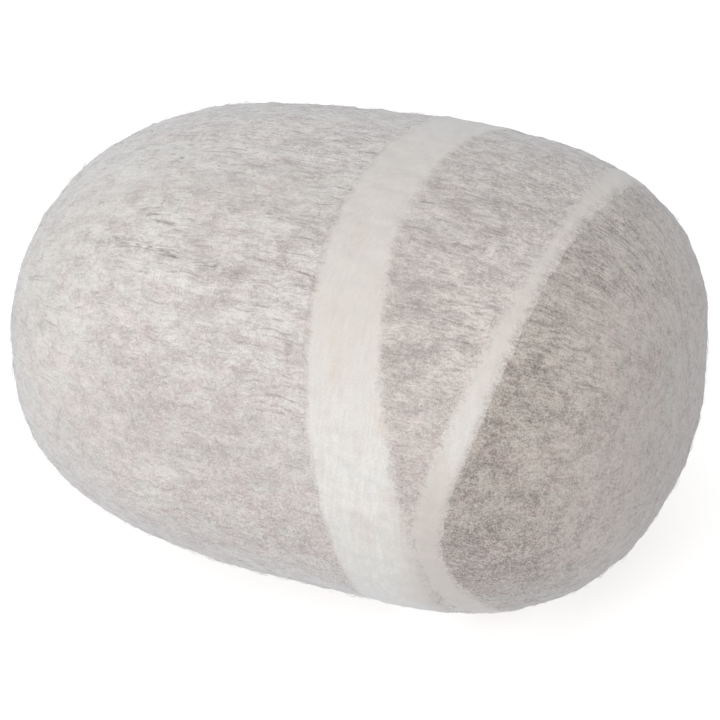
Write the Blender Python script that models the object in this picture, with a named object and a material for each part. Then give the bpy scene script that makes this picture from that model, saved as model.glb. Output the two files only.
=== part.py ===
"""Felted wool dryer ball like a pebble: a yarn core, two wool wraps, three grey felts, two white bands.

Metres, +Z up, +X along the ball's length towards its heavier end, standing on z = 0, origin under its middle.
Each piece is a section spun round the length axis. The section is a run of stations, and a station gives, for
each turn, the place along X and the depth below the pebble's surface where that point of the section is laid.
A turn is the angle round the length axis, from the front (-Y) up over the top (+Z).
"""

from math import acos, atan2, copysign, cos, exp, pi, radians, sin

import bmesh
import bpy
from mathutils import Matrix, Vector

# The pebble, which has squarish superellipse sections and is a little fatter towards +X.
HALF_LENGTH = 0.048
HALF_WIDTH = 0.036
HALF_HEIGHT = 0.031
LENGTHWISE_POWER = 2.9
CROSSWISE_POWER = 2.3
TAPER = 0.06  # share by which the girth has grown at the +X end
REST_FLAT = 0.0005  # how far the wool is pressed flat where the ball stands

# The layers, from the outside in.
FELT_THICKNESS = 0.007
LENGTHWISE_WRAP_THICKNESS = 0.006
CROSSWISE_WRAP_THICKNESS = 0.006
GAP = 0.0003  # between neighbouring pieces
WRAP_SEAM = 0.0006  # where the two ends of a wrap meet

# The wide band is a ring round the middle, tilted to be nearer the +X end underneath, and a little bent.
WIDE_MIDDLE = 0.013
WIDE_TILT = 0.0047
WIDE_TILT_TURN = radians(-81)
WIDE_BEND = 0.00135
WIDE_BEND_TURN = radians(-34)
WIDE_WIDTH = 0.0108
WIDE_FRONT_WIDENING = 0.0010  # how much wider it is at the front and back than halfway to the top
WIDE_DEPTH = 0.0018
WIDE_CROWN = 0.0002

# The narrow band is a loop round the +X end, pulled over to the wide band at one place.
NARROW_FAR = 0.033
NARROW_DIP = 0.0095
NARROW_DIP_TURN = radians(-12)
NARROW_DIP_SPREAD_ABOVE = radians(43)
NARROW_DIP_SPREAD_BELOW = radians(38)
NARROW_DIP_POWER = 1.5
NARROW_WIDTH = 0.0039
NARROW_DEPTH = 0.0013
NARROW_CROWN = 0.00025

# Where the bands run together, the grey between them narrows to a thin edge.
THIN_EDGE = 0.0003

# The fineness of the faceted solids.
AROUND = 44
LEFT_STEPS = 11
BETWEEN_STEPS = 3
RIGHT_STEPS = 6
WIDE_ACROSS = 4
NARROW_ACROSS = 2

CLEAR = 0.03  # how far a cutter stands past what it cuts
MEETING_POINT = 1e-5  # spun points of the section closer than this are one

LIGHT_GREY = (0.66, 0.62, 0.60)
MIDDLE_GREY = (0.58, 0.54, 0.52)
DARK_GREY = (0.49, 0.45, 0.43)
OFF_WHITE = (0.80, 0.77, 0.72)
CARDED_GREY = (0.55, 0.52, 0.49)
CARDED_CREAM = (0.70, 0.66, 0.58)
YARN_GREY = (0.42, 0.39, 0.37)
WOOL_ROUGHNESS = 0.95


def reach(x, turn, depth=0.0):
    """The distance from the length axis to the surface that lies depth below the pebble's own."""
    along = max(0.0, 1 - abs(x / (HALF_LENGTH - depth)) ** LENGTHWISE_POWER) ** (1 / LENGTHWISE_POWER)
    wide = (abs(cos(turn)) / (HALF_WIDTH - depth)) ** CROSSWISE_POWER
    high = (abs(sin(turn)) / (HALF_HEIGHT - depth)) ** CROSSWISE_POWER
    return along * (1 + TAPER * x / HALF_LENGTH) / (wide + high) ** (1 / CROSSWISE_POWER)


def axis_height():
    """The height of the length axis over the ground: the pebble's lowest reach, less the pressed part."""
    samples = 200
    underneath = (reach(HALF_LENGTH * i / samples, -pi / 2) for i in range(samples))
    return max(underneath) - REST_FLAT


AXIS_HEIGHT = axis_height()


def on_pebble(x, turn, depth):
    """The point at x and turn on the surface that lies depth below the pebble's own, kept off the ground."""
    away = reach(x, turn, depth)
    return Vector((x, -away * cos(turn), max(away * sin(turn), -AXIS_HEIGHT)))


def bearing(x, depth):
    """Where x lies on a circle that, bent to the pebble's outline, has points spaced as its curve needs."""
    share = x / (HALF_LENGTH - depth)
    return acos(copysign(min(1.0, abs(share) ** (LENGTHWISE_POWER / 2)), share))


def place_along(angle, depth):
    """The x that has this bearing."""
    return (HALF_LENGTH - depth) * copysign(abs(cos(angle)) ** (2 / LENGTHWISE_POWER), cos(angle))


def wide_middle(turn):
    return WIDE_MIDDLE + WIDE_TILT * cos(turn - WIDE_TILT_TURN) + WIDE_BEND * cos(2 * (turn - WIDE_BEND_TURN))


def wide_half_width(turn):
    return (WIDE_WIDTH + WIDE_FRONT_WIDENING * cos(2 * turn)) / 2


def wide_start(turn):
    return wide_middle(turn) - wide_half_width(turn)


def wide_end(turn):
    return wide_middle(turn) + wide_half_width(turn)


def narrow_middle(turn):
    """Level at NARROW_FAR, with one dip whose two sides have their own spreads."""
    away = (turn - NARROW_DIP_TURN + pi) % (2 * pi) - pi
    spread = NARROW_DIP_SPREAD_ABOVE if away > 0 else NARROW_DIP_SPREAD_BELOW
    return NARROW_FAR - NARROW_DIP * exp(-abs(away / spread) ** NARROW_DIP_POWER)


def narrow_start(turn):
    """The narrow band is cut back by the wide one, so that the grey's thin edge fits between them."""
    return max(narrow_middle(turn) - NARROW_WIDTH / 2, wide_end(turn) + GAP + THIN_EDGE + GAP)


def narrow_end(turn):
    return narrow_middle(turn) + NARROW_WIDTH / 2


def narrow_seam(turn):
    """The second seam of the felts lies under the middle of what is left of the narrow band."""
    return (narrow_start(turn) + narrow_end(turn)) / 2


def wool(name, colour):
    """A matt wool material."""
    material = bpy.data.materials.new(name)
    material.use_nodes = True
    shader = material.node_tree.nodes["Principled BSDF"]
    shader.inputs["Base Color"].default_value = (*colour, 1)
    shader.inputs["Roughness"].default_value = WOOL_ROUGHNESS
    shader.inputs["Metallic"].default_value = 0
    return material


def placed(name, bm, material=None):
    """An object of this mesh on the length axis. Without a material it is a cutter, not part of the ball."""
    bm.normal_update()
    bmesh.ops.recalc_face_normals(bm, faces=bm.faces)
    mesh = bpy.data.meshes.new(name)
    bm.to_mesh(mesh)
    bm.free()
    obj = bpy.data.objects.new(name, mesh)
    obj.location.z = AXIS_HEIGHT
    bpy.context.scene.collection.objects.link(obj)
    if material:
        mesh.materials.append(material)
        mesh.shade_smooth()
        mesh.set_sharp_from_angle(angle=radians(40))
    else:
        obj.hide_render = True
        obj.display_type = "WIRE"
    return obj


def spun(stations, closed):
    """A body spun from a section of stations. An open section starts and ends on the length axis."""
    bm = bmesh.new()
    last = len(stations) - 1
    verts = [
        bm.verts.new((i, 0 if i in (0, last) and not closed else -1, 0))
        for i in range(len(stations))
    ]
    ends = verts[1:] + verts[:1] if closed else verts[1:]
    edges = [bm.edges.new(pair) for pair in zip(verts, ends)]
    bmesh.ops.spin(
        bm, geom=verts + edges, axis=(1, 0, 0), cent=(0, 0, 0), angle=2 * pi, steps=AROUND, use_merge=True
    )
    bmesh.ops.remove_doubles(bm, verts=bm.verts, dist=MEETING_POINT)
    for vert in bm.verts:
        i, y, z = vert.co
        turn = atan2(z, -y)
        x, depth = stations[round(i)](turn)
        vert.co = on_pebble(x, turn, depth)
    return bm


def run(start, end, depth, steps, like=None):
    """Stations at one depth from start to end, functions of the turn, or on bearings at another depth."""
    known = depth if like is None else like

    def station(share):
        def at(turn):
            first, last = bearing(start(turn), known), bearing(end(turn), known)
            return place_along(first + (last - first) * share, depth), depth

        return at

    return [station(i / steps) for i in range(steps + 1)]


def pole(side, depth):
    """The end of the pebble on the length axis, at +X for side 1 and at -X for side -1."""
    return lambda turn: side * (HALF_LENGTH - depth)


def moved(edge, by):
    return lambda turn: edge(turn) + by


def layer(depth):
    """The whole pebble's shape at this depth, with facets that run parallel to those inside the felts."""
    lining = FELT_THICKNESS
    left = run(pole(-1, lining), wide_middle, depth, LEFT_STEPS, like=lining)
    between = run(wide_middle, narrow_seam, depth, BETWEEN_STEPS, like=lining)
    right = run(narrow_seam, pole(1, lining), depth, RIGHT_STEPS, like=lining)
    return spun(left + between[1:] + right[1:], closed=False)


def band(start, end, across, depth, crown):
    """A band let into the pebble, which stands proud of it by its crown along the middle."""

    def top(share):
        proud = crown * (1 - (2 * share - 1) ** 2)
        return lambda turn: (start(turn) + (end(turn) - start(turn)) * share, -proud)

    return spun([top(i / across) for i in range(across + 1)] + run(end, start, depth, across), closed=True)


def slab(low, high):
    """A box between two corners, given from the pebble's middle."""
    bm = bmesh.new()
    size = [b - a for a, b in zip(low, high)]
    centre = Matrix.Translation([(a + b) / 2 for a, b in zip(low, high)])
    bmesh.ops.create_cube(bm, size=1, matrix=centre @ Matrix.Diagonal((*size, 1)))
    return bm


def cut(obj, cutter):
    modifier = obj.modifiers.new(cutter.name, "BOOLEAN")
    modifier.operation = "DIFFERENCE"
    modifier.solver = "EXACT"
    modifier.object = cutter


def build_core_and_wraps():
    """The yarn core, and two wraps of carded wool, each closed round what it covers but for its seam."""
    lengthwise_top = FELT_THICKNESS + GAP
    lengthwise_bottom = lengthwise_top + LENGTHWISE_WRAP_THICKNESS
    crosswise_top = lengthwise_bottom + GAP
    crosswise_bottom = crosswise_top + CROSSWISE_WRAP_THICKNESS
    core_top = crosswise_bottom + GAP
    past = max(HALF_LENGTH, HALF_WIDTH, HALF_HEIGHT) + CLEAR

    lengthwise = placed("lengthwise_wool_wrap", layer(lengthwise_top), wool("carded_cream_wool", CARDED_CREAM))
    seam_over_the_top = slab((-WRAP_SEAM / 2, -past, 0), (WRAP_SEAM / 2, past, past))
    cut(lengthwise, placed("lengthwise_wrap_inside", layer(lengthwise_bottom)))
    cut(lengthwise, placed("lengthwise_wrap_seam", seam_over_the_top))

    crosswise = placed("crosswise_wool_wrap", layer(crosswise_top), wool("carded_grey_wool", CARDED_GREY))
    seam_along_the_back = slab((-past, 0, -WRAP_SEAM / 2), (past, past, WRAP_SEAM / 2))
    cut(crosswise, placed("crosswise_wrap_inside", layer(crosswise_bottom)))
    cut(crosswise, placed("crosswise_wrap_seam", seam_along_the_back))

    placed("core_yarn_ball", layer(core_top), wool("wound_grey_yarn", YARN_GREY))


def build_bands():
    white = wool("off_white_wool", OFF_WHITE)
    wide = band(wide_start, wide_end, WIDE_ACROSS, WIDE_DEPTH, WIDE_CROWN)
    narrow = band(narrow_start, narrow_end, NARROW_ACROSS, NARROW_DEPTH, NARROW_CROWN)
    placed("wide_white_band", wide, white)
    placed("narrow_white_band", narrow, white)


def build_end_felts():
    """The felts of the two ends are cups, each rim stepped down into the half groove that takes its band."""
    left_groove, left_seam = moved(wide_start, -GAP), moved(wide_middle, -GAP / 2)
    left = (
        run(pole(-1, 0), left_groove, 0, LEFT_STEPS)
        + run(left_groove, left_seam, WIDE_DEPTH + GAP, WIDE_ACROSS // 2)
        + run(left_seam, pole(-1, FELT_THICKNESS), FELT_THICKNESS, LEFT_STEPS)
    )
    placed("left_grey_felt", spun(left, closed=False), wool("light_grey_wool", LIGHT_GREY))

    right_groove, right_seam = moved(narrow_end, GAP), moved(narrow_seam, GAP / 2)
    right = (
        run(pole(1, 0), right_groove, 0, RIGHT_STEPS)
        + run(right_groove, right_seam, NARROW_DEPTH + GAP, NARROW_ACROSS // 2)
        + run(right_seam, pole(1, FELT_THICKNESS), FELT_THICKNESS, RIGHT_STEPS)
    )
    placed("right_grey_felt", spun(right, closed=False), wool("dark_grey_wool", DARK_GREY))


def build_middle_felt():
    """The ring of felt between the seams, stepped down under both bands. Its outer face is a wedge."""
    first_seam, first_wall = moved(wide_middle, GAP / 2), moved(wide_end, GAP)
    second_wall, second_seam = moved(narrow_start, -GAP), moved(narrow_seam, -GAP / 2)
    ring = (
        run(first_seam, first_wall, WIDE_DEPTH + GAP, WIDE_ACROSS // 2)
        + run(first_wall, second_wall, 0, BETWEEN_STEPS)
        + run(second_wall, second_seam, NARROW_DEPTH + GAP, NARROW_ACROSS // 2)
        + run(second_seam, first_seam, FELT_THICKNESS, BETWEEN_STEPS)
    )
    placed("middle_grey_felt", spun(ring, closed=True), wool("middle_grey_wool", MIDDLE_GREY))


for leftover in list(bpy.data.objects):
    bpy.data.objects.remove(leftover, do_unlink=True)
build_core_and_wraps()
build_bands()
build_end_felts()
build_middle_felt()
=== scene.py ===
"""The looks of a felted wool dryer ball: an oval grey ball with two off-white bands, on a pale floor."""

from math import cos, pi, radians, sin

import bmesh
import bpy
import numpy as np
from mathutils import Matrix, Vector


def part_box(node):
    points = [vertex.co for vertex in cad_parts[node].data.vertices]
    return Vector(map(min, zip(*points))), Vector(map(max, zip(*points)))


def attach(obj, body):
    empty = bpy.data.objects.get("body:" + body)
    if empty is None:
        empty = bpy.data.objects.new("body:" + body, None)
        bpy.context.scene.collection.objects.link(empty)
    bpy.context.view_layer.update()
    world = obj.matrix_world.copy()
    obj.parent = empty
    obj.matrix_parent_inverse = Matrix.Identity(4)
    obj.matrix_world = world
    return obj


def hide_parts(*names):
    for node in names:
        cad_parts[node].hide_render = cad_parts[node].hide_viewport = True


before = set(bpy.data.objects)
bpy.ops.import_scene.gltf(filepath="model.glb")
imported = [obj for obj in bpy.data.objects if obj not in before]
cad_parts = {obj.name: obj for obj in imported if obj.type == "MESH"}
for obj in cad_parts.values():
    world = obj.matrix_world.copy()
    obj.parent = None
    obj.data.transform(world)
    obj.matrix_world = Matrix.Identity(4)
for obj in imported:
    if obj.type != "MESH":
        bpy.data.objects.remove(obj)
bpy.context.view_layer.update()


# The heart of the ball is a small oval ball of thick grey wool yarn, wound round and round itself in
# every direction. Nothing fixes it: the wool that is felted over it holds it in the middle.

YARN_RADIUS = 0.0009
YARN_SIDES = 8
WINDINGS = 46
POINTS_A_WINDING = 56
WINDING_ON = 0.381966  # the share of a turn by which each winding stands on from the last
LEAN_MIDDLE, LEAN_SWING, LEAN_RATE = 0.5, 0.9, 0.0031  # how steeply the windings lie, and how that changes
HEART_BODY = 28  # rings of the ball that the outermost windings lie on
BODY_SINK = 0.6  # how deep that ball lies under them, in yarn radii
YARN_GREY = (0.30, 0.27, 0.25, 1)
YARN_PALE = (0.46, 0.42, 0.40, 1)
YARN_GRAIN, YARN_TONES = (1.1, 1.1, 1.1), (0.35, 0.65)
YARN_BUMP_GRAIN = (3, 3, 3)
ROUGH = 0.6  # how much of its finer detail a noise of wool shows
WOOL_ROUGHNESS, WOOL_SHINE, WOOL_RELIEF = 0.9, 0.15, 0.0001
SHEEN_ROUGHNESS, SHEEN_TINT = 0.55, (0.86, 0.88, 0.92, 1)
MM = 1000

heart_low, heart_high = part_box("core_yarn_ball")
MIDDLE = np.array([0, 0, (heart_low.z + heart_high.z) / 2])


class Shade:
    """A value that runs from one node to the next, and adds Math nodes when it is reckoned with."""

    def __init__(self, tree, socket=None):
        self.tree, self.socket = tree, socket

    def node(self, kind, settings, sockets, output=0):
        made = self.tree.nodes.new(kind)
        for name, value in settings.items():
            setattr(made, name, value)
        for name, value in sockets.items():
            if isinstance(value, Shade):
                self.tree.links.new(value.socket, made.inputs[name])
            else:
                made.inputs[name].default_value = value
        return Shade(self.tree, made.outputs[output] if made.outputs else None)

    def maths(self, operation, *values):
        return self.node("ShaderNodeMath", {"operation": operation}, dict(enumerate(values)))

    def __add__(self, other):
        return self.maths("ADD", self, other)

    def __sub__(self, other):
        return self.maths("SUBTRACT", self, other)

    def __rsub__(self, other):
        return self.maths("SUBTRACT", other, self)

    def __mul__(self, other):
        return self.maths("MULTIPLY", self, other)

    __radd__, __rmul__ = __add__, __mul__

    def between(self, low, high):
        """0 below low, 1 above high, and smooth between."""
        sockets = {"Value": self, "From Min": low, "From Max": high}
        return self.node("ShaderNodeMapRange", {"interpolation_type": "SMOOTHSTEP"}, sockets)

    def size(self):
        return self.maths("ABSOLUTE", self)

    def blend(self, first, second):
        """The first colour where this is 0, and the second where it is 1."""
        sockets = {0: self, 6: first, 7: second}
        return self.node("ShaderNodeMix", {"data_type": "RGBA"}, sockets, 2)

    def vector(self, operation, other, output=0):
        return self.node("ShaderNodeVectorMath", {"operation": operation}, {0: self, 1: other}, output)

    def noise(self, where, detail, roughness=0.5, turned=None):
        settings = {"noise_dimensions": "4D" if turned else "3D"}
        sockets = {"Vector": where, "Scale": 1.0, "Detail": detail, "Roughness": roughness}
        if turned:
            sockets["W"] = turned
        return self.node("ShaderNodeTexNoise", settings, sockets)

    def place(self):
        """Where a point of the ball is, in millimetres from the middle of the ball."""
        where = self.node("ShaderNodeTexCoord", {}, {}, "Object")
        return where.vector("SUBTRACT", MIDDLE).vector("MULTIPLY", (MM, MM, MM))


def wool(name, colour_of, bump_of, roughness=WOOL_ROUGHNESS, sheen=0.0, relief=WOOL_RELIEF):
    """A woollen material. colour_of and bump_of take its start and the place, and give a colour and a
    height."""
    material = bpy.data.materials.new(name)
    material.use_nodes = True
    tree = material.node_tree
    tree.nodes.clear()
    start = Shade(tree)
    place = start.place()
    height = bump_of(start, place)
    bump = start.node("ShaderNodeBump", {}, {"Strength": 1.0, "Distance": relief, "Height": height})
    sockets = {
        "Base Color": colour_of(start, place),
        "Normal": bump,
        "Roughness": roughness,
        "Specular IOR Level": WOOL_SHINE,
        "Sheen Weight": sheen,
        "Sheen Roughness": SHEEN_ROUGHNESS,
        "Sheen Tint": SHEEN_TINT,
    }
    shader = start.node("ShaderNodeBsdfPrincipled", {}, sockets)
    start.node("ShaderNodeOutputMaterial", {}, {"Surface": shader})
    return material


def made_of(name, points, faces, material):
    """A piece of the ball that moves with it, from its points and faces."""
    mesh = bpy.data.meshes.new(name)
    mesh.from_pydata(points, [], faces)
    mesh.polygons.foreach_set("use_smooth", [True] * len(mesh.polygons))
    mesh.materials.append(material)
    piece = bpy.data.objects.new(name, mesh)
    bpy.context.scene.collection.objects.link(piece)
    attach(piece, "root")
    return piece


def tubes(lines, radius, sides, facing):
    """Points and faces of closed round threads, one along each line: lines is threads x points x 3."""
    along = np.gradient(lines, axis=1)
    along /= np.linalg.norm(along, axis=-1, keepdims=True) + 1e-12
    aside = np.cross(along, facing)
    aside /= np.linalg.norm(aside, axis=-1, keepdims=True) + 1e-12
    above = np.cross(aside, along)
    turns = 2 * pi * np.arange(sides) / sides
    ring = np.cos(turns)[:, None] * aside[:, :, None] + np.sin(turns)[:, None] * above[:, :, None]
    points = (lines[:, :, None] + radius[..., None, None] * ring).reshape(-1, 3)
    threads, stops = lines.shape[:2]
    first = sides * np.arange(stops - 1)[:, None] + np.arange(sides)
    second = sides * np.arange(stops - 1)[:, None] + (np.arange(sides) + 1) % sides
    walls = np.stack([first, second, second + sides, first + sides], axis=-1).reshape(-1, 4)
    walls = (walls[None] + sides * stops * np.arange(threads)[:, None, None]).reshape(-1, 4)
    ends = np.arange(sides)[None] + sides * stops * np.arange(threads)[:, None]
    faces = walls.tolist() + ends[:, ::-1].tolist() + (ends + sides * (stops - 1)).tolist()
    return points, faces


heart_half = np.array(heart_high - heart_low) / 2 - YARN_RADIUS
count = WINDINGS * POINTS_A_WINDING
wound = 2 * pi * np.arange(count) / POINTS_A_WINDING
lean = LEAN_SWING * np.sin(np.arange(count) * LEAN_RATE) + LEAN_MIDDLE
swing = np.arange(count) * 2 * pi * WINDING_ON / POINTS_A_WINDING
one = np.stack([np.cos(swing), np.sin(swing), 0 * swing], axis=-1)
other = np.stack([-np.sin(swing) * np.cos(lean), np.cos(swing) * np.cos(lean), np.sin(lean)], axis=-1)
ways = np.cos(wound)[:, None] * one + np.sin(wound)[:, None] * other
ways /= np.linalg.norm(ways / heart_half, axis=-1, keepdims=True)
yarn_points, yarn_faces = tubes(
    (MIDDLE + ways)[None], np.full((1, count), YARN_RADIUS), YARN_SIDES, (ways / heart_half**2)[None]
)

body_half = Vector(heart_half - YARN_RADIUS * BODY_SINK)
heart = bmesh.new()
bmesh.ops.create_uvsphere(
    heart,
    u_segments=2 * HEART_BODY,
    v_segments=HEART_BODY,
    radius=1,
    matrix=Matrix.Translation(MIDDLE) @ Matrix.Diagonal(body_half).to_4x4(),
)
heart.verts.index_update()
body_points = np.array([v.co for v in heart.verts])
body_faces = sorted([v.index + len(yarn_points) for v in f.verts] for f in heart.faces)
heart.free()


def yarn_colour(start, place):
    shade = start.noise(place.vector("MULTIPLY", YARN_GRAIN), 3, ROUGH).between(*YARN_TONES)
    return shade.blend(YARN_GREY, YARN_PALE)


def yarn_bump(start, place):
    return start.noise(place.vector("MULTIPLY", YARN_BUMP_GRAIN), 2, ROUGH)


heart_yarn = made_of(
    "heart_yarn",
    np.concatenate([yarn_points, body_points]),
    yarn_faces + body_faces,
    wool("wound_grey_yarn", yarn_colour, yarn_bump),
)
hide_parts("core_yarn_ball")


# Two thick wraps of carded wool cover the yarn, the first laid crosswise and the second lengthwise, each
# with its edges meeting in a slit. They are the stuffing under the coloured felt, and hot water and rolling
# mat them together.

CARDED_CREAM = (0.62, 0.57, 0.49, 1)
CARDED_PALE = (0.74, 0.70, 0.63, 1)
CARDED_GREY = (0.42, 0.39, 0.36, 1)
CARDED_SILVER = (0.56, 0.53, 0.50, 1)
CARDED_TONES = (0.3, 0.7)
CROSSWISE_GRAIN, LENGTHWISE_GRAIN = (2.4, 0.3, 0.3), (0.25, 2.4, 2.4)
WRAP_RELIEF = 0.00006
WRAP_WAVE, WRAP_WAVE_CHANGE = 0.0023, 0.3  # how long the ripples are, and how much shorter from X to Y to Z
WELD = 1e-6


def carded(name, deep, pale, grain):
    """Carded wool with its fibres laid one way. grain is how tightly its streaks lie along X, Y and Z."""

    def colour(start, place):
        return start.noise(place.vector("MULTIPLY", grain), 3, ROUGH).between(*CARDED_TONES).blend(deep, pale)

    def bump(start, place):
        return start.noise(place.vector("MULTIPLY", grain), 2, ROUGH)

    return wool(name, colour, bump)


def wrap(name, node, material):
    """The wrap that the CAD node gives, cut finer and with the low ripples of matted wool."""
    shape = bmesh.new()
    shape.from_mesh(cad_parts[node].data)
    bmesh.ops.remove_doubles(shape, verts=shape.verts, dist=WELD)
    bmesh.ops.subdivide_edges(shape, edges=shape.edges, cuts=1, use_grid_fill=True)
    shape.normal_update()
    for v in shape.verts:
        ripple = sum(sin(v.co[i] / WRAP_WAVE * (1 + WRAP_WAVE_CHANGE * i) + i) for i in range(3)) / 3
        v.co += v.normal * WRAP_RELIEF * (ripple - 1)
    shape.verts.index_update()
    points = [list(v.co) for v in shape.verts]
    faces = [[v.index for v in f.verts] for f in shape.faces]
    shape.free()
    piece = made_of(name, points, faces, material)
    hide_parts(node)
    return piece


cream_wool = carded("carded_cream_wool", CARDED_CREAM, CARDED_PALE, CROSSWISE_GRAIN)
wrap("crosswise_wrap", "crosswise_wool_wrap", cream_wool)
grey_wool = carded("carded_grey_wool", CARDED_GREY, CARDED_SILVER, LENGTHWISE_GRAIN)
wrap("lengthwise_wrap", "lengthwise_wool_wrap", grey_wool)


# The ball's skin is three grey felts side by side, a light one, a middling one and a dark one. They are
# felted straight onto the wraps, their edges meeting under the white bands, and their matted fibres run the
# ball's length.

HALF_LENGTH, HALF_WIDTH, HALF_HEIGHT = 0.048, 0.036, 0.031
LENGTHWISE_POWER, CROSSWISE_POWER = 2.9, 2.3
TAPER = 0.06
FELT_THICKNESS = 0.007
AROUND = 420
WIDE_MIDDLE, WIDE_TILT, WIDE_TILT_TURN = 0.013, 0.0047, radians(-81)
WIDE_BEND, WIDE_BEND_TURN = 0.00135, radians(-34)
WIDE_WIDTH, WIDE_FRONT_WIDENING, WIDE_DEPTH = 0.0108, 0.0010, 0.0018
NARROW_FAR, NARROW_DIP, NARROW_DIP_TURN, NARROW_DIP_POWER = 0.033, 0.0095, radians(-12), 1.5
NARROW_DIP_SPREAD_ABOVE, NARROW_DIP_SPREAD_BELOW = radians(43), radians(38)
NARROW_WIDTH, NARROW_DEPTH = 0.0039, 0.0013
BANDS_MERGE = 0.0011
NARROW_DRAWN_IN, NARROW_DRAWN_TURN, NARROW_DRAWN_SPREAD = 0.0007, radians(72), radians(30)
GAP = 0.0003
THIN_EDGE = 0.0003
BAND_LAP = 0.0007  # how far a band's thin edge laps over the felt beside it
GROOVE_SLOPE = 0.0014  # how far it takes a felt to go down under a band
FACING_REACH = 0.0001  # how far apart the places are that tell which way the skin faces
NEAR_TIP = 0.9999  # the felts close on the ball's tips from just beside them

lump_draw = np.random.default_rng(4)


def fullness(points):
    """1 on the ball's skin, less inside it, and more outside."""
    x, y, z = np.moveaxis((points - MIDDLE) / (HALF_LENGTH, HALF_WIDTH, HALF_HEIGHT), -1, 0)
    across = (np.abs(y) ** CROSSWISE_POWER + np.abs(z) ** CROSSWISE_POWER) ** (1 / CROSSWISE_POWER)
    across = across / (1 + TAPER * x)
    return (np.abs(x) ** LENGTHWISE_POWER + across**LENGTHWISE_POWER) ** (1 / LENGTHWISE_POWER)


def outward(points):
    """The way that the skin faces at each point."""
    slopes = [fullness(points + step) - fullness(points - step) for step in FACING_REACH * np.eye(3)]
    facing = np.stack(slopes, axis=-1)
    return facing / np.linalg.norm(facing, axis=-1, keepdims=True)


def waves(number, shortest, longest, height):
    """Waves that add up to a smooth unevenness: which way and how tightly each runs, where it starts, and how
    high it is."""
    ways = lump_draw.normal(size=(number, 3))
    ways /= np.linalg.norm(ways, axis=-1, keepdims=True)
    lengths = lump_draw.uniform(shortest, longest, number)
    heights = lengths / lengths.mean() * height / np.sqrt(number / 2)
    return ways * (2 * pi / lengths)[:, None], lump_draw.uniform(0, 2 * pi, number), heights


def unevenness(points, kinds):
    """How high the skin's lumps stand at each point."""
    total = 0.0
    for ways, starts, heights in kinds:
        for way, begin, height in zip(ways, starts, heights):
            total = total + height * np.sin(points @ way + begin)
    return total


LUMPS = [
    waves(18, shortest=0.007, longest=0.022, height=0.00010),
    waves(22, shortest=0.0022, longest=0.005, height=0.00005),
    waves(26, shortest=0.0009, longest=0.0018, height=0.00002),
]


def pebble(x, turn, depth):
    """Points on the ball's skin, or on one that much deeper, from places along X and turns round X."""
    share = np.clip(np.abs(x / (HALF_LENGTH - depth)), 0, 1)
    along = (1 - share**LENGTHWISE_POWER) ** (1 / LENGTHWISE_POWER)
    wide = (np.abs(np.cos(turn)) / (HALF_WIDTH - depth)) ** CROSSWISE_POWER
    high = (np.abs(np.sin(turn)) / (HALF_HEIGHT - depth)) ** CROSSWISE_POWER
    away = along * (1 + TAPER * x / HALF_LENGTH) / (wide + high) ** (1 / CROSSWISE_POWER)
    return MIDDLE + np.stack([x + 0 * away, -away * np.cos(turn), away * np.sin(turn)], axis=-1)


def bearing(x):
    """The angle from the right tip at which a place along X lies. Equal angles lie evenly on the skin."""
    return np.arccos(np.copysign(np.clip(np.abs(x / HALF_LENGTH), 0, 1) ** (LENGTHWISE_POWER / 2), x))


def place_along(angle, depth):
    """The place along X at an angle from the right tip."""
    share = np.copysign(np.abs(np.cos(angle)) ** (2 / LENGTHWISE_POWER), np.cos(angle))
    return (HALF_LENGTH - depth) * share


def turn_away(turn, other):
    """How far one turn is from another, the short way round."""
    return (turn - other + pi) % (2 * pi) - pi


def wide_middle(turn):
    bend = WIDE_BEND * np.cos(2 * (turn - WIDE_BEND_TURN))
    return WIDE_MIDDLE + WIDE_TILT * np.cos(turn - WIDE_TILT_TURN) + bend


def wide_half(turn):
    return (WIDE_WIDTH + WIDE_FRONT_WIDENING * np.cos(2 * turn)) / 2


def narrow_middle(turn):
    away = turn_away(turn, NARROW_DIP_TURN)
    spread = np.where(away > 0, NARROW_DIP_SPREAD_ABOVE, NARROW_DIP_SPREAD_BELOW)
    return NARROW_FAR - NARROW_DIP * np.exp(-(np.abs(away / spread) ** NARROW_DIP_POWER))


def narrow_half(turn):
    """Half its width, which is less where it is drawn tight over the top."""
    away = turn_away(turn, NARROW_DRAWN_TURN) / NARROW_DRAWN_SPREAD
    return NARROW_WIDTH / 2 - NARROW_DRAWN_IN * np.exp(-(away**2))


def narrow_start(turn):
    clear = wide_middle(turn) + wide_half(turn) + 2 * GAP + THIN_EDGE
    return np.maximum(narrow_middle(turn) - narrow_half(turn), clear)


def narrow_end(turn):
    return narrow_middle(turn) + narrow_half(turn)


def into_white(points):
    """How far inside the nearer band's edge each point is, in millimetres, and less than 0 outside the bands.
    They fray into one another where they lie close together."""
    x = points[..., 0]
    turn = np.arctan2(points[..., 2] - MIDDLE[2], -points[..., 1])
    wide = wide_half(turn) - np.abs(x - wide_middle(turn))
    narrow = narrow_half(turn) - np.abs(x - narrow_middle(turn))
    return np.logaddexp(wide / BANDS_MERGE, narrow / BANDS_MERGE) * BANDS_MERGE * MM


def stretch(start, end, steps):
    """Places along X, steps x turns, evenly spaced over the skin between two edges."""
    share = np.linspace(0, 1, steps)[:, None]
    return (1 - share) * bearing(start) + share * bearing(end)


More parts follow.
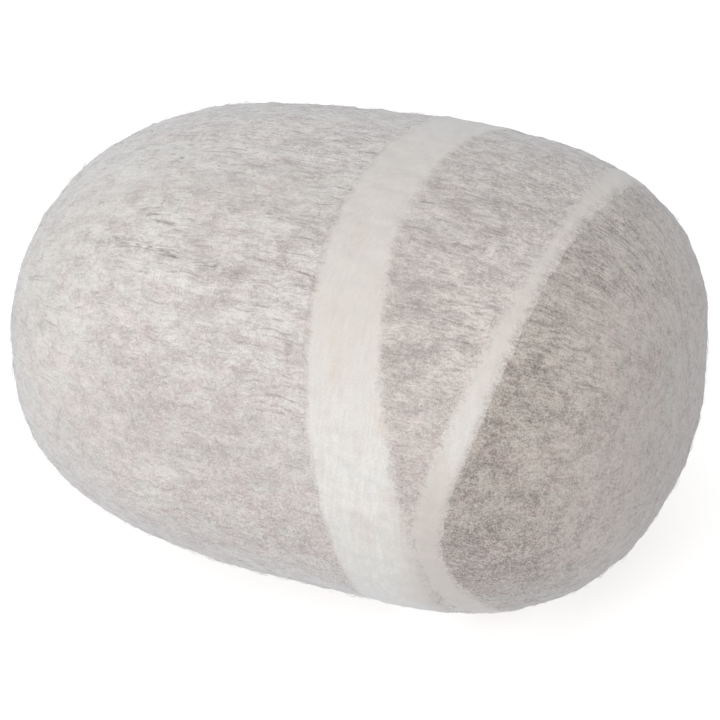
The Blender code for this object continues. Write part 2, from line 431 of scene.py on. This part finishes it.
def felted_body(name, rings, closed, material):
    """A body spun round X from rings of points, steps x turns x 3. An open body closes on X at both ends."""
    steps, around = rings.shape[:2]
    points = rings.reshape(-1, 3)
    points[:, 2] = np.maximum(points[:, 2], 0)
    last = steps if closed else steps - 1
    row = (np.arange(last)[:, None] * around) + np.arange(around)
    beside = (np.arange(last)[:, None] * around) + (np.arange(around) + 1) % around
    walls = np.stack([row, beside, (beside + around) % len(points), (row + around) % len(points)], axis=-1)
    faces = walls.reshape(-1, 4).tolist()
    gone = np.linalg.norm(np.diff(rings, axis=0), axis=-1).mean(axis=1)
    up = np.concatenate([[0], np.cumsum(gone)])
    up = np.concatenate([up, [up[-1] + gone.mean()]]) / (up[-1] + gone.mean())
    across = np.arange(around + 1) / around
    left, right = np.tile(across[:-1], last), np.tile(across[1:], last)
    low, high = np.repeat(up[:last], around), np.repeat(up[1 : last + 1], around)
    spread = np.stack([left, low, right, low, right, high, left, high], axis=-1).reshape(-1, 2)
    if not closed:
        poles = np.stack([rings[0].mean(axis=0), rings[-1].mean(axis=0)])
        points = np.concatenate([points, poles])
        here, there = np.arange(around), (np.arange(around) + 1) % around
        tip, foot = len(points) - 2, len(points) - 1
        end = (steps - 1) * around
        faces += np.stack([here * 0 + tip, there, here], axis=-1).tolist()
        faces += np.stack([here * 0 + foot, here + end, there + end], axis=-1).tolist()
        half = (across[:-1] + across[1:]) / 2
        top = 0 * half + up[-2]
        begin = np.stack([half, 0 * half, across[1:], 0 * half, across[:-1], 0 * half], axis=-1)
        finish = np.stack([half, top, across[:-1], top, across[1:], top], axis=-1)
        spread = np.concatenate([spread, begin.reshape(-1, 2), finish.reshape(-1, 2)])
    piece = made_of(name, points, faces, material)
    piece.data.uv_layers.new(name="OFBake").data.foreach_set("uv", spread.ravel())
    share = piece.data.attributes.new("into_white", "FLOAT", "POINT")
    share.data.foreach_set("value", into_white(points).astype(np.float32))
    shape = bmesh.new()
    shape.from_mesh(piece.data)
    bmesh.ops.recalc_face_normals(shape, faces=shape.faces)
    shape.to_mesh(piece.data)
    shape.free()
    return piece


turns = np.linspace(-pi, pi, AROUND, endpoint=False)[None]


def skin(start, end, steps):
    """The matted outer face between two edges, with its lumps."""
    points = pebble(place_along(stretch(start, end, steps), 0.0), turns, 0.0)
    return points + outward(points) * unevenness(points, LUMPS)[..., None]


def lining(start, end, steps, depth, around=turns):
    """A smooth inner face between two edges."""
    return pebble(place_along(stretch(start, end, steps), depth), around, depth)


# The felts' colours. White wool comes in where a felt goes under a band.

SHEEN, FELT_ROUGHNESS, FELT_RELIEF = 1.0, 0.95, 0.00006
DARK_STREAK = (0.20, 0.17, 0.155, 1)
WHITE_LOW, WHITE_HIGH = (0.85, 0.825, 0.79, 1), (0.965, 0.945, 0.91, 1)
CREAM_LOW, CREAM_HIGH = (0.81, 0.755, 0.70, 1), (0.93, 0.875, 0.82, 1)
# Beige: the narrow band's own tone, and painted shade on the bands' top, underside and low narrow part.
BEIGE_AND_SHADE_WHITE = (0.72, 0.655, 0.60, 1)
LIGHT_DEEP = ((0.505, 0.418, 0.407, 1), (0.491, 0.428, 0.409, 1))
LIGHT_PALE = ((0.951, 0.882, 0.846, 1), (0.926, 0.903, 0.851, 1))
MIDDLE_DEEP = ((0.422, 0.353, 0.338, 1), (0.411, 0.361, 0.340, 1))
MIDDLE_PALE = ((0.889, 0.793, 0.749, 1), (0.864, 0.810, 0.753, 1))
DARK_DEEP = ((0.232, 0.183, 0.165, 1), (0.224, 0.187, 0.165, 1))
DARK_PALE = ((0.718, 0.621, 0.573, 1), (0.697, 0.636, 0.577, 1))

# How tightly the wool's noises are packed along X, Y and Z, to the millimetre. The fibres bend in long and in
# short waves, each so tight and so many millimetres high. Streaks, flecks and marks run along the ball: how
# tight across, how tight along in 30ths, and how much detail. Strands and ribs run round it: how tight
# across, how often they change on the way round, and how much detail.

EVEN = 0.5  # what a noise comes to on average
EVEN_WAY = (0.5, 0.5, 0.5)
LONG_BEND, LONG_BEND_REACH = 0.28, (1.0, 1.3, 1.3)
SHORT_BEND, SHORT_BEND_REACH = 1.3, (0.2, 0.15, 0.15)
FIBRE_STRETCH = 30
STREAKS, FLECKS, MARKS = (3.4, 9.0, 3), (3.8, 24.0, 2), (1.9, 3.2, 3)
STRANDS, BAND_RIBS = (2.2, 7.0, 3), (2.5, 9.0, 2)
MATTING, MATTING_ROUGH = (3.0, 3.8, 3.8), 0.7
TUFTS, TUFTS_ROUGH = (0.85, 1.35, 1.35), 0.65
FELT_BUMPS, FELT_BUMPS_ROUGH = (1.6, 3.4, 3.4), 0.65
CURLS, OTHER_CURLS, CURL_LINE = (1.3, 1.9, 1.9), (2.1, 1.5, 1.7), 0.05
PATCHES, CLOUDS, TINTS = (0.25, 0.45, 0.45), (0.07, 0.11, 0.11), (0.24, 0.38, 0.38)
FRAYS, FRAYS_ROUGH = (0.9, 0.9, 0.9), 0.7
CREAM_PATCHES = (0.30, 0.14, 0.14)

# Where the wool changes, and painted sheen and shade, in millimetres from the ball's middle, and how
# strongly.

TOP = (2.0, 24.0)
UNDER, UNDER_CONTRAST = (2.0, -12.0), 0.55
BEHIND, BEHIND_CONTRAST = (-14.0, 3.0), 0.8
RIGHT, RIGHT_CONTRAST = (14.0, 28.0), 0.35
ENDS = (26.0, 38.0)
# Paler towards the left end: partly the left felt's own paler wool, partly painted sheen at the left edge.
LEFT_HALF, LEFT_PALER_AND_PAINTED_SHEEN = (0.0, 48.0), 0.32
RIGHT_TIP, RIGHT_TIP_PALER = (30.0, 46.0), 0.34
# Painted sheen: less pink, greener wool on top and at the left tip, where the pale sheen lies.
LEFT_TIP, LEFT_TIP_PAINTED_SHEEN_TINT, TOP_PAINTED_SHEEN_TINT = (30.0, 48.0), 0.12, 0.15
STREAK_SHARE, MATTING_SHARE, MATTING_LESS_ON_TOP = 0.3, 1.7, 0.4
CURL_SHARE, CURL_MEAN, TUFT_SHARE = 0.24, 0.06, 1.1
PATCH_SHARE, PATCH_MORE_ON_TOP, CLOUD_SHARE = 0.9, 0.5, 0.7
ALL_DARKER = 0.12
TINT_TONES, LEVEL_TONES = (0.36, 0.66), (-1.02, 0.82)
MARK_TONES, MARK_CLOUDS, MARK_SHARE, MARK_MORE_ON_TOP = (0.52, 0.80), (0.36, 0.62), 0.45, 0.7
LOCKS = ((-14.0, 0.36, 14.0, 60.0), (-27.0, -0.2, -34.0, -1.0))  # middle, slant, beginning and end of each
LOCK_EDGE, LOCK_CORE, LOCK_FADE = 1.0, 0.1, 6.0
LOCK_RISE, LOCK_TUFTS, LOCK_STREAKS = (-2.0, 6.0), (0.34, 0.60), (0.62, 0.38)
FLECK_TONES, FLECK_DARK, MARK_DARK, LOCK_DARK = (0.54, 0.86), 0.2, 0.8, 0.6
WHITE_DRAWN_IN, FRAY_SHARE, FRAY_TONES = 0.45, 2.0, (-0.7, 1.0)
CREAM_TONES, STRAND_SHARE, STRAND_TONES = (0.45, 0.70), 0.9, (-0.24, 0.24)
# Painted shade: the bands' white goes beige on top, underneath and low on the narrow band.
NARROW_FROM, NARROW_LOW, NARROW_LOW_PAINTED_SHADE, NARROW_DINGY = (17.0, 24.0), (12.0, -2.0), 0.75, 0.1
TOP_PAINTED_SHADE, FOOT, FOOT_PAINTED_SHADE = 0.6, (-4.0, -22.0), 0.05


def heather(name, deep, pale, relief=FELT_RELIEF, along_band=False):
    """Matted wool of two shades, deep and pale, each a pinkish and a greenish one, and white by the bands."""

    def grain(start, place):
        """Where a point is among the bent fibres: as a place, along X, out from X, and its way from X."""
        long_bend = {"Vector": place, "Scale": LONG_BEND, "Detail": 1.0}
        short_bend = {"Vector": place, "Scale": SHORT_BEND, "Detail": 1.0}
        warp = start.node("ShaderNodeTexNoise", {}, long_bend, "Color")
        curl = start.node("ShaderNodeTexNoise", {}, short_bend, "Color")
        bent = warp.vector("SUBTRACT", EVEN_WAY).vector("MULTIPLY", LONG_BEND_REACH).vector("ADD", place)
        bent = curl.vector("SUBTRACT", EVEN_WAY).vector("MULTIPLY", SHORT_BEND_REACH).vector("ADD", bent)
        radial = bent.vector("MULTIPLY", (0, 1, 1))
        facing = start.node("ShaderNodeVectorMath", {"operation": "NORMALIZE"}, {0: radial})
        x = start.node("ShaderNodeSeparateXYZ", {}, {0: bent}, 0)
        away = radial.vector("LENGTH", (0, 0, 0), 1)
        sides = start.node("ShaderNodeSeparateXYZ", {}, {0: facing}, 1)
        ups = start.node("ShaderNodeSeparateXYZ", {}, {0: facing}, 2)
        return bent, x, away, sides, ups

    def run_round(start, parts, tight, long, detail):
        """Streaks that run round the ball."""
        x, away, sides, ups = parts[1:]
        where = start.node("ShaderNodeCombineXYZ", {}, {0: x * tight, 1: away * tight, 2: sides * long})
        return start.noise(where, detail, ROUGH, ups * long)

    def run_along(start, parts, ends, tight, long, detail):
        """Streaks that run the ball's length, and over its ends towards their middles."""
        bent, x, away, sides, ups = parts
        slow = long / FIBRE_STRETCH
        on_side = start.noise(bent.vector("MULTIPLY", (slow, tight, tight)), detail, ROUGH)
        far = (x.size() - away) * slow
        wide = HALF_HEIGHT * MM * tight
        on_end = start.node("ShaderNodeCombineXYZ", {}, {0: far, 1: sides * wide, 2: ups * wide})
        return on_side * (1 - ends) + start.noise(on_end, detail, ROUGH) * ends

    def lock(x, depth, middle, slant, begin, end):
        """A long dark lock of coarser wool that lies slantwise over the top."""
        off = depth - x * slant - middle
        core = off.size().between(LOCK_EDGE, LOCK_CORE)
        return core * x.between(begin, begin + LOCK_FADE) * x.between(end, end - LOCK_FADE)

    def fine_curls(start, bent, tight):
        """Short pale fibres that lie curled on the skin."""
        winding = start.noise(bent.vector("MULTIPLY", tight), 1, ROUGH)
        return (winding - EVEN).size().between(CURL_LINE, 0.0)

    def colour(start, place):
        parts = grain(start, place)
        bent, x = parts[:2]
        height = start.node("ShaderNodeSeparateXYZ", {}, {0: place}, 2)
        depth = start.node("ShaderNodeSeparateXYZ", {}, {0: place}, 1)
        top, ends, leftward = height.between(*TOP), x.size().between(*ENDS), x * -1.0
        contrast = height.between(*UNDER) * UNDER_CONTRAST + depth.between(*BEHIND) * BEHIND_CONTRAST
        contrast = contrast + x.between(*RIGHT) * RIGHT_CONTRAST + 1.0

        streaks = run_along(start, parts, ends, *STREAKS)
        flecks = run_along(start, parts, ends, *FLECKS)
        marks = run_along(start, parts, ends, *MARKS)
        matted = start.noise(bent.vector("MULTIPLY", MATTING), 3, MATTING_ROUGH)
        curled = fine_curls(start, bent, CURLS) + fine_curls(start, bent, OTHER_CURLS)
        tufts = start.noise(bent.vector("MULTIPLY", TUFTS), 3, TUFTS_ROUGH)
        patches = start.noise(bent.vector("MULTIPLY", PATCHES), 2)
        clouds = start.noise(place.vector("MULTIPLY", CLOUDS), 1)

        fine = (streaks - EVEN) * (top + STREAK_SHARE)
        fine = fine + (matted - EVEN) * (MATTING_SHARE - top * MATTING_LESS_ON_TOP)
        fine = fine + curled * CURL_SHARE - CURL_MEAN + (tufts - EVEN) * TUFT_SHARE
        level = fine * contrast + (patches - EVEN) * (top * PATCH_MORE_ON_TOP + PATCH_SHARE)
        level = level + (clouds - EVEN) * CLOUD_SHARE
        # Paler leftward: partly the wool's own tone, partly painted sheen at the left edge.
        level = level + leftward.between(*LEFT_HALF) * LEFT_PALER_AND_PAINTED_SHEEN
        level = level + x.between(*RIGHT_TIP) * RIGHT_TIP_PALER - ALL_DARKER
        tint = start.noise(place.vector("MULTIPLY", TINTS), 2, ROUGH)
        # Painted sheen: the tint turns greener on top and at the left tip.
        tint = tint + top * TOP_PAINTED_SHEEN_TINT + leftward.between(*LEFT_TIP) * LEFT_TIP_PAINTED_SHEEN_TINT
        tint = tint.between(*TINT_TONES)
        grey = level.between(*LEVEL_TONES).blend(tint.blend(*deep), tint.blend(*pale))

        long_dark = marks.between(*MARK_TONES) * clouds.between(*MARK_CLOUDS)
        long_dark = long_dark * (top * MARK_MORE_ON_TOP + MARK_SHARE)
        locks = lock(x, depth, *LOCKS[0]) + lock(x, depth, *LOCKS[1])
        locks = locks * height.between(*LOCK_RISE) * tufts.between(*LOCK_TUFTS)
        locks = locks * streaks.between(*LOCK_STREAKS)
        dark = flecks.between(*FLECK_TONES) * FLECK_DARK + long_dark * MARK_DARK + locks * LOCK_DARK
        grey = dark.blend(grey, DARK_STREAK)

        inside = start.node("ShaderNodeAttribute", {"attribute_name": "into_white"}, {}, "Fac")
        frays = start.noise(place.vector("MULTIPLY", FRAYS), 3, FRAYS_ROUGH)
        frayed = inside - top * WHITE_DRAWN_IN + (matted - EVEN) + (frays - EVEN) * FRAY_SHARE
        cream = start.noise(place.vector("MULTIPLY", CREAM_PATCHES), 2, ROUGH).between(*CREAM_TONES)
        strands = (run_round(start, parts, *STRANDS) - EVEN) * STRAND_SHARE + (matted - EVEN)
        strands = strands.between(*STRAND_TONES)
        white = cream.blend(strands.blend(WHITE_LOW, WHITE_HIGH), strands.blend(CREAM_LOW, CREAM_HIGH))
        # The narrow band's own beige, and painted shade on top, underneath and low on the narrow band.
        beige_and_shade = x.between(*NARROW_FROM) * (height.between(*NARROW_LOW) * NARROW_LOW_PAINTED_SHADE + NARROW_DINGY)
        beige_and_shade = beige_and_shade + top * TOP_PAINTED_SHADE + height.between(*FOOT) * FOOT_PAINTED_SHADE
        white = beige_and_shade.blend(white, BEIGE_AND_SHADE_WHITE)
        return frayed.between(*FRAY_TONES).blend(grey, white)

    def bump(start, place):
        parts = grain(start, place)
        if along_band:
            return run_round(start, parts, *BAND_RIBS)
        return start.noise(parts[0].vector("MULTIPLY", FELT_BUMPS), 3, FELT_BUMPS_ROUGH)

    return wool(name, colour, bump, FELT_ROUGHNESS, SHEEN, relief)


light_grey = heather("light_grey_wool", LIGHT_DEEP, LIGHT_PALE)
middle_grey = heather("middle_grey_wool", MIDDLE_DEEP, MIDDLE_PALE)
dark_grey = heather("dark_grey_wool", DARK_DEEP, DARK_PALE)

first_seam = wide_middle(turns)
second_seam = (narrow_start(turns) + narrow_end(turns)) / 2
tip = HALF_LENGTH * NEAR_TIP + 0 * turns

left_lip = wide_middle(turns) - wide_half(turns) + BAND_LAP
left_felt = felted_body(
    "left_felt",
    np.concatenate(
        [
            skin(-tip, left_lip, steps=170),
            lining(left_lip + GROOVE_SLOPE, first_seam - GAP / 2, steps=4, depth=WIDE_DEPTH + GAP),
            lining(first_seam - GAP / 2, -tip, steps=40, depth=FELT_THICKNESS),
        ]
    ),
    False,
    light_grey,
)
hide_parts("left_grey_felt")

middle_lip = wide_middle(turns) + wide_half(turns) - BAND_LAP
far_lip = np.maximum(narrow_middle(turns) - narrow_half(turns) + BAND_LAP / 2, middle_lip + 2 * BAND_LAP)
far_lip = np.minimum(far_lip, second_seam - GAP)
middle_felt = felted_body(
    "middle_felt",
    np.concatenate(
        [
            lining(first_seam + GAP / 2, middle_lip - GROOVE_SLOPE, steps=4, depth=WIDE_DEPTH + GAP),
            skin(middle_lip, far_lip, steps=44),
            lining(second_seam - GAP / 2, second_seam - GAP / 2, steps=1, depth=NARROW_DEPTH + GAP),
            lining(second_seam - GAP / 2, first_seam + GAP / 2, steps=16, depth=FELT_THICKNESS),
        ]
    ),
    True,
    middle_grey,
)
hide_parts("middle_grey_felt")

right_lip = np.maximum(narrow_end(turns) - BAND_LAP, second_seam + GAP)
right_felt = felted_body(
    "right_felt",
    np.concatenate(
        [
            skin(tip, right_lip, steps=90),
            lining(second_seam + GAP / 2, second_seam + GAP / 2, steps=1, depth=NARROW_DEPTH + GAP),
            lining(second_seam + GAP / 2, tip, steps=24, depth=FELT_THICKNESS),
        ]
    ),
    False,
    dark_grey,
)
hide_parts("right_grey_felt")


# The two bands are ribbons of off-white wool laid in shallow grooves of the grey felts and needled down, so
# that they stand hardly proud of them. Their thin edges lap over the grey and fray into it.

BAND_AROUND = 900
WIDE_ACROSS, NARROW_ACROSS = 50, 26
BAND_PROUD = 0.00016  # how far a band stands above the felts at its middle
BAND_EDGE_SINK = 0.00022  # how far its edges lie below their faces
BAND_EDGE_RUN = 0.0015  # how wide its thin edges are
BAND_RELIEF = 0.00004

off_white = heather("off_white_wool", MIDDLE_DEEP, MIDDLE_PALE, BAND_RELIEF, True)
band_turns = np.linspace(-pi, pi, BAND_AROUND, endpoint=False)[None]
BAND_LUMPS = LUMPS[:2] + [waves(24, shortest=0.0008, longest=0.0025, height=0.00003)]


def band(name, node, start, end, across, depth):
    """A ribbon of white wool round the ball between two edges, sunk to its depth and thin at its edges."""
    start, end = start - BAND_LAP, end + BAND_LAP
    x = place_along(stretch(start, end, across), 0.0)
    points = pebble(x, band_turns, 0.0)
    inside = np.minimum(x - start, end - x) / BAND_EDGE_RUN
    full = 1 - (1 - np.clip(inside, 0, 1)) ** 2
    proud = (BAND_PROUD + BAND_EDGE_SINK) * full - BAND_EDGE_SINK
    top = points + outward(points) * (unevenness(points, BAND_LUMPS) + proud)[..., None]
    under_start, under_end = start + BAND_EDGE_RUN, end - BAND_EDGE_RUN
    middle = (start + end) / 2
    under_start, under_end = np.minimum(under_start, middle - GAP), np.maximum(under_end, middle + GAP)
    under = lining(under_end, under_start, steps=4, depth=depth, around=band_turns)
    piece = felted_body(name, np.concatenate([top, under]), True, off_white)
    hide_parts(node)


band(
    "wide_band",
    "wide_white_band",
    wide_middle(band_turns) - wide_half(band_turns),
    wide_middle(band_turns) + wide_half(band_turns),
    WIDE_ACROSS,
    WIDE_DEPTH,
)
band(
    "narrow_band",
    "narrow_white_band",
    narrow_start(band_turns),
    narrow_end(band_turns),
    NARROW_ACROSS,
    NARROW_DEPTH,
)


# Loose ends of the same wool lie matted over the felts and the bands, and a few stand up from them. They are
# single fibres and wisps, held by the felt that they grow out of.

HAIR_STEPS = 9
HAIR_SIDES = 3
STARTS_A_HAIR = 8  # more starts are strewn than are wanted, because many fall where none grow
HAIR_STARTS = (0.06, 0.045, 0.04)  # how widely they are strewn before they are brought onto the skin
TRIES = 4
CLEAR_OF_FLOOR, ABOVE_FLOOR = 0.0004, 0.0001
FIRST_BEND, BEND_KEPT, NEXT_BEND = 0.25, 0.7, 0.16
HAIR_SUNK = 0.00004
HAIR_TAPER, THINNEST, THICKEST = 0.65, 0.7, 1.2
HAIR_GRAIN, HAIR_TONES = (0.5, 0.5, 0.5), (0.3, 0.7)
HAIR_ROUGHNESS, HAIR_SHEEN, HAIR_RELIEF = 0.9, 0.2, 0.00001
PALE_HAIR_LOW, PALE_HAIR_HIGH = (0.66, 0.61, 0.59, 1), (0.83, 0.79, 0.765, 1)
DARK_HAIR_LOW, DARK_HAIR_HIGH = (0.40, 0.35, 0.33, 1), (0.54, 0.49, 0.46, 1)
WHITE_HAIR_LOW, WHITE_HAIR_HIGH = (0.78, 0.75, 0.70, 1), (0.85, 0.82, 0.78, 1)
hair_draw = np.random.default_rng(11)


def on_skin(points):
    """The points moved straight out from the middle, or in to it, until they are on the ball's skin."""
    for _ in range(TRIES):
        points = MIDDLE + (points - MIDDLE) / fullness(points)[..., None]
    return points


def lengthwise(points):
    """The way that the wool runs, along the ball and over its ends, and the way out of the skin."""
    facing = outward(points)
    along = np.array([1.0, 0, 0]) - facing * facing[..., :1]
    along /= np.linalg.norm(along, axis=-1, keepdims=True) + 1e-9
    return along, facing


def hairs(name, number, length, thick, scatter, rise, stand, wanted, material):
    """Hairs that wander over the skin. wanted says, from how far inside the white each starts and from a
    chance for each, which of them grow."""
    points = hair_draw.normal(size=(number * STARTS_A_HAIR, 3)) * HAIR_STARTS + MIDDLE
    points = on_skin(points)
    points = points[wanted(into_white(points), hair_draw.random(len(points)))][:number]
    points = points[points[:, 2] > CLEAR_OF_FLOOR]
    heading = hair_draw.normal(0, scatter, len(points))
    heading += pi * (hair_draw.random(len(points)) < 0.5)
    bend = hair_draw.normal(0, FIRST_BEND, len(points))
    step = hair_draw.uniform(*length, len(points)) / (HAIR_STEPS - 1)
    lines = [points]
    for _ in range(HAIR_STEPS - 1):
        way, facing = lengthwise(points)
        side = np.cross(facing, way)
        go = way * np.cos(heading)[:, None] + side * np.sin(heading)[:, None]
        points = on_skin(points + go * step[:, None])
        bend = BEND_KEPT * bend + hair_draw.normal(0, NEXT_BEND, len(points))
        heading = heading + bend
        lines.append(points)
    lines = np.stack(lines, axis=1)
    facing = outward(lines)
    share = np.linspace(0, 1, HAIR_STEPS)[None]
    up = hair_draw.uniform(*rise, (len(lines), 1)) * np.sin(pi * share) - HAIR_SUNK
    up = up + hair_draw.uniform(0, stand, (len(lines), 1)) * share**2
    lines = lines + facing * (up + unevenness(lines, LUMPS))[..., None]
    radius = thick * (1 - HAIR_TAPER * np.abs(2 * share - 1) ** 3)
    radius = radius * hair_draw.uniform(THINNEST, THICKEST, (len(lines), 1))
    lines[..., 2] = np.maximum(lines[..., 2], ABOVE_FLOOR)
    points, faces = tubes(lines, radius, HAIR_SIDES, facing)
    piece = made_of(name, points, faces, material)
    corners = np.empty(len(piece.data.loops), np.int32)
    piece.data.loops.foreach_get("vertex_index", corners)
    turn = np.arctan2(points[:, 2] - MIDDLE[2], -points[:, 1])
    spread = np.stack([turn / (2 * pi) + 0.5, bearing(points[:, 0]) / pi], axis=-1)
    piece.data.uv_layers.new(name="OFBake").data.foreach_set("uv", spread[corners].ravel())


def hair_wool(name, low, high):
    """Single fibres of wool, between two shades."""

    def colour(start, place):
        shade = start.noise(place.vector("MULTIPLY", HAIR_GRAIN), 2, ROUGH).between(*HAIR_TONES)
        return shade.blend(low, high)

    def bump(start, place):
        return start.noise(place, 0)

    return wool(name, colour, bump, HAIR_ROUGHNESS, HAIR_SHEEN, HAIR_RELIEF)


# Which hairs grow, by how many millimetres inside the white each starts. On the bands most grow by the edges.

CLEAR_OF_WHITE, WELL_CLEAR_OF_WHITE = -1.0, -4.5
WHITE_FROM, WHITE_TO, WHITE_ON = -0.2, 1.2, 6


def on_grey(inside, chance):
    return inside < CLEAR_OF_WHITE


def well_on_grey(inside, chance):
    return inside < WELL_CLEAR_OF_WHITE


def on_white(inside, chance):
    return (inside > WHITE_FROM) & (inside < WHITE_TO + WHITE_ON * chance)


pale_hair = hair_wool("pale_hair", PALE_HAIR_LOW, PALE_HAIR_HIGH)
dark_hair = hair_wool("dark_hair", DARK_HAIR_LOW, DARK_HAIR_HIGH)
white_hair = hair_wool("white_hair", WHITE_HAIR_LOW, WHITE_HAIR_HIGH)

hairs(
    "pale_hairs",
    number=3600,
    length=(0.0015, 0.004),
    thick=0.000026,
    scatter=0.3,
    rise=(0.00003, 0.00008),
    stand=0.0,
    wanted=on_grey,
    material=pale_hair,
)
hairs(
    "dark_hairs",
    number=1800,
    length=(0.001, 0.003),
    thick=0.00002,
    scatter=0.5,
    rise=(0.00002, 0.00004),
    stand=0.0,
    wanted=well_on_grey,
    material=dark_hair,
)
hairs(
    "raised_hairs",
    number=4000,
    length=(0.001, 0.003),
    thick=0.000018,
    scatter=1.2,
    rise=(0.0001, 0.0003),
    stand=0.0004,
    wanted=on_grey,
    material=pale_hair,
)
hairs(
    "band_hairs",
    number=3200,
    length=(0.002, 0.004),
    thick=0.00003,
    scatter=1.3,
    rise=(0.00003, 0.00008),
    stand=0.0001,
    wanted=on_white,
    material=white_hair,
)


# The ball rests on a plain pale floor under a large soft lamp in front of it and to its left, with pale
# light from all round.

FLOOR_SIZE = 8.0
FLOOR_WHITE = (0.93, 0.93, 0.93, 1)
FLOOR_GLOW, FLOOR_ROUGHNESS = 0.5, 0.9
LAMP_WAY, LAMP_RISE, LAMP_AWAY, LAMP_SIZE, LAMP_POWER = radians(-3), radians(21), 1.2, 0.8, 3.0
FRONT, BACKDROP, BELOW = (0.87, 0.87, 0.87, 1), (0.35, 0.35, 0.35, 1), (0.49, 0.49, 0.49, 1)
UPWARD, BACKWARD = (-0.6, 0.6), (-0.2, 0.6)

floor_mesh = bpy.data.meshes.new("floor")
half = FLOOR_SIZE / 2
floor_corners = [(-half, -half, 0), (half, -half, 0), (half, half, 0), (-half, half, 0)]
floor_mesh.from_pydata(floor_corners, [], [(0, 1, 2, 3)])
floor = bpy.data.objects.new("floor", floor_mesh)
bpy.context.scene.collection.objects.link(floor)
paint = bpy.data.materials.new("pale_floor")
paint.use_nodes = True
paint.node_tree.nodes.clear()
paint_start = Shade(paint.node_tree)
floor_finish = {
    "Base Color": FLOOR_WHITE,
    "Roughness": FLOOR_ROUGHNESS,
    "Emission Color": (1, 1, 1, 1),
    "Emission Strength": FLOOR_GLOW,
}
floor_shader = paint_start.node("ShaderNodeBsdfPrincipled", {}, floor_finish)
paint_start.node("ShaderNodeOutputMaterial", {}, {"Surface": floor_shader})
floor_mesh.materials.append(paint)
floor.visible_diffuse = False
floor.visible_glossy = False
floor.visible_shadow = False

lamp_data = bpy.data.lights.new("soft_lamp", "AREA")
lamp_data.shape, lamp_data.size, lamp_data.energy = "DISK", LAMP_SIZE, LAMP_POWER
lamp = bpy.data.objects.new("soft_lamp", lamp_data)
lamp_way = Vector((sin(LAMP_WAY) * cos(LAMP_RISE), -cos(LAMP_WAY) * cos(LAMP_RISE), sin(LAMP_RISE)))
lamp.location = Vector(MIDDLE) + LAMP_AWAY * lamp_way
lamp.rotation_euler = lamp_way.to_track_quat("Z", "Y").to_euler()
bpy.context.scene.collection.objects.link(lamp)

world = bpy.data.worlds.new("studio")
world.use_nodes = True
world.node_tree.nodes.clear()
air = Shade(world.node_tree)
way = air.node("ShaderNodeTexCoord", {}, {}, "Generated")
upward = air.node("ShaderNodeSeparateXYZ", {}, {0: way}, 2)
backward = air.node("ShaderNodeSeparateXYZ", {}, {0: way}, 1)
light = upward.between(*UPWARD).blend(BELOW, backward.between(*BACKWARD).blend(FRONT, BACKDROP))
glow = air.node("ShaderNodeBackground", {}, {"Color": light})
air.node("ShaderNodeOutputWorld", {}, {"Surface": glow})
bpy.context.scene.world = world
bpy.context.scene.view_settings.view_transform = "Standard"


# The camera looks down on the ball from the front, a little to its right, through a long lens.

CAMERA_TURN, CAMERA_RISE, CAMERA_AWAY = radians(21.5), radians(30.28), 0.62
CAMERA_LENS, CAMERA_SENSOR, CAMERA_REACH = 219.6, 36, 20
AIM_RIGHT, AIM_UP = 0.00041, -0.00194

back = Vector((sin(CAMERA_TURN) * cos(CAMERA_RISE), -cos(CAMERA_TURN) * cos(CAMERA_RISE), sin(CAMERA_RISE)))
right = Vector((cos(CAMERA_TURN), sin(CAMERA_TURN), 0))
up = back.cross(right)
camera_data = bpy.data.cameras.new("camera")
camera_data.lens, camera_data.sensor_width, camera_data.clip_end = CAMERA_LENS, CAMERA_SENSOR, CAMERA_REACH
camera = bpy.data.objects.new("camera", camera_data)
camera.matrix_world = Matrix.Translation(
    Vector(MIDDLE) + AIM_RIGHT * right + AIM_UP * up + CAMERA_AWAY * back
) @ Matrix((right, up, back)).transposed().to_4x4()
bpy.context.scene.collection.objects.link(camera)
bpy.context.scene.camera = camera
